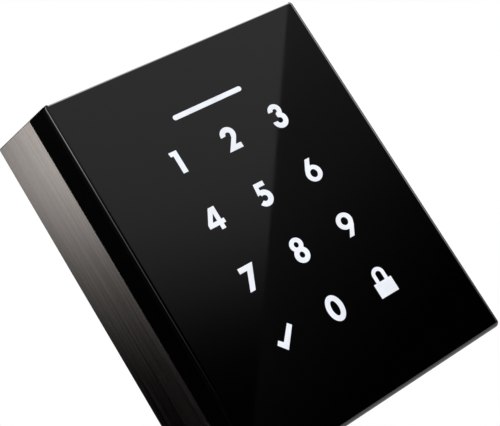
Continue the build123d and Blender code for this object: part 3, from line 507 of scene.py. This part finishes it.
def cross_recess(mesh, centre, rim, y_top, radius, depth):
    """Close a screw head inside its rim with a flat top that has a cross-shaped recess."""
    arm, half = radius * RECESS_ARM, radius * RECESS_HALF
    quarter = [(half, half), (half, arm), (-half, arm)]
    outline = []
    for turn in range(4):
        for along, across in quarter:
            for _ in range(turn):
                along, across = -across, along
            outline.append((centre[0] + along, centre[1] + across))
    upper = [mesh.verts.new((x, y_top, z)) for x, z in outline]
    lower = [mesh.verts.new((x, y_top - depth, z)) for x, z in outline]
    skin(mesh, upper, lower)
    mesh.faces.new(lower)
    edges = []
    for ring in (rim, upper):
        for step in range(len(ring)):
            pair = (ring[step], ring[(step + 1) % len(ring)])
            edges.append(mesh.edges.get(pair) or mesh.edges.new(pair))
    bmesh.ops.triangle_fill(mesh, edges=edges, use_beauty=True)


def thread(mesh, centre, y0, y1, crest, pitch):
    """A screw thread round an axis along Y: the surface winds once per pitch."""
    steps = int((y1 - y0) / pitch * THREAD_STEPS)
    profile = []
    for step in range(steps + 1):
        y = y0 + (y1 - y0) * step / steps
        phases = [((y - y0) / pitch + side / ROUND) % 1.0 for side in range(ROUND)]
        profile.append(([crest - THREAD_DEPTH * pitch * abs(2 * phase - 1) for phase in phases], y))
    turned_body(mesh, centre, profile)


def screw(mesh, centre, y_tip, y_shank, y_base, y_top, shank, head, pitch):
    """A pan-head screw along Y: thread from the tip to y_shank, plain shank up to a recessed head."""
    thread(mesh, centre, y_tip, y_shank, shank, pitch)
    rise = y_top - y_base
    profile = [(shank, y_shank - pitch / 2), (shank, y_base)]
    profile += [(head * share, y_base + rise * part) for share, part in HEAD_PROFILE]
    rim = turned_body(mesh, centre, profile, closed=False)
    cross_recess(mesh, centre, rim, y_top, head, rise * RECESS_DEPTH)


# ---- screws with threads and cross recesses ----
def make_through_bolts():
    low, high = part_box("through_bolts")
    shank, head, rise, pitch = 2.0 * MM, 3.5 * MM, 2.4 * MM, 0.7 * MM
    threaded = 20 * MM
    mesh = bmesh.new()
    for centre in ((low.x + head, high.z - head), (high.x - head, low.z + head)):
        screw(mesh, centre, low.y, low.y + threaded, high.y - rise, high.y, shank, head, pitch)
    add_piece("threaded_through_bolts", mesh, "zinc_steel", "lockset", "through_bolts")


def make_chassis_screws():
    low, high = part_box("chassis_screws")
    shank, head, rise, pitch = 1.2 * MM, 2.2 * MM, 0.9 * MM, 0.5 * MM
    plain = 1.5 * MM
    mesh = bmesh.new()
    for x in (low.x + head, high.x - head):
        for z in (low.z + head, high.z - head):
            screw(mesh, (x, z), low.y, high.y - rise - plain, high.y - rise, high.y, shank, head, pitch)
    add_piece("recessed_chassis_screws", mesh, "zinc_steel", "lockset", "chassis_screws")


# ---- size AA cells: a printed sleeve with rolled ends over a steel can ----
# (share of the cell's radius, height in millimetres from the flat end)
SLEEVE = [(0.76, 0.25), (0.93, 0.25), (0.98, 0.5), (1.0, 1.0), (1.0, 47.2), (0.98, 47.7), (0.93, 47.95),
          (0.84, 47.95)]
CAN = [(0.2, 0.0), (0.68, 0.0), (0.76, 0.12), (0.80, 0.4), (0.80, 47.6), (0.74, 48.05), (0.46, 48.2),
       (0.38, 48.4), (0.365, 49.2), (0.31, 49.5), (0.1, 49.5)]


def make_cell(number, points_up):
    name = f"battery_{number}"
    low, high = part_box(name)
    middle = (low + high) / 2
    radius = (high.x - low.x) / 2
    start, step = (low.z, MM) if points_up else (high.z, -MM)

    def turned_cell(profile):
        mesh = bmesh.new()
        heights = [(share * radius, start + step * height) for share, height in profile]
        turned_body(mesh, (middle.x, middle.y), heights, axis="Z")
        return mesh

    add_piece(f"cell_sleeve_{number}", turned_cell(SLEEVE), "cell_wrap", "lockset", name)
    add_piece(f"cell_can_{number}", turned_cell(CAN), "spring_metal", "lockset")


make_through_bolts()
make_chassis_screws()
for cell_number in range(1, 5):
    make_cell(cell_number, cell_number % 2 == 1)


# ---- floor ----
FLOOR_Z = -0.25
FLOOR_HALF = 0.6


def make_floor():
    mesh = bpy.data.meshes.new("floor")
    corners = [(FLOOR_HALF * x, FLOOR_HALF * y, FLOOR_Z) for x, y in ((-1, -1), (1, -1), (1, 1), (-1, 1))]
    mesh.from_pydata(corners, [], [(0, 1, 2, 3)])
    floor = bpy.data.objects.new("floor", mesh)
    bpy.context.scene.collection.objects.link(floor)
    mesh.materials.append(moulded("floor_paint", (0.85, 0.85, 0.85, 1), 0.7))


make_floor()
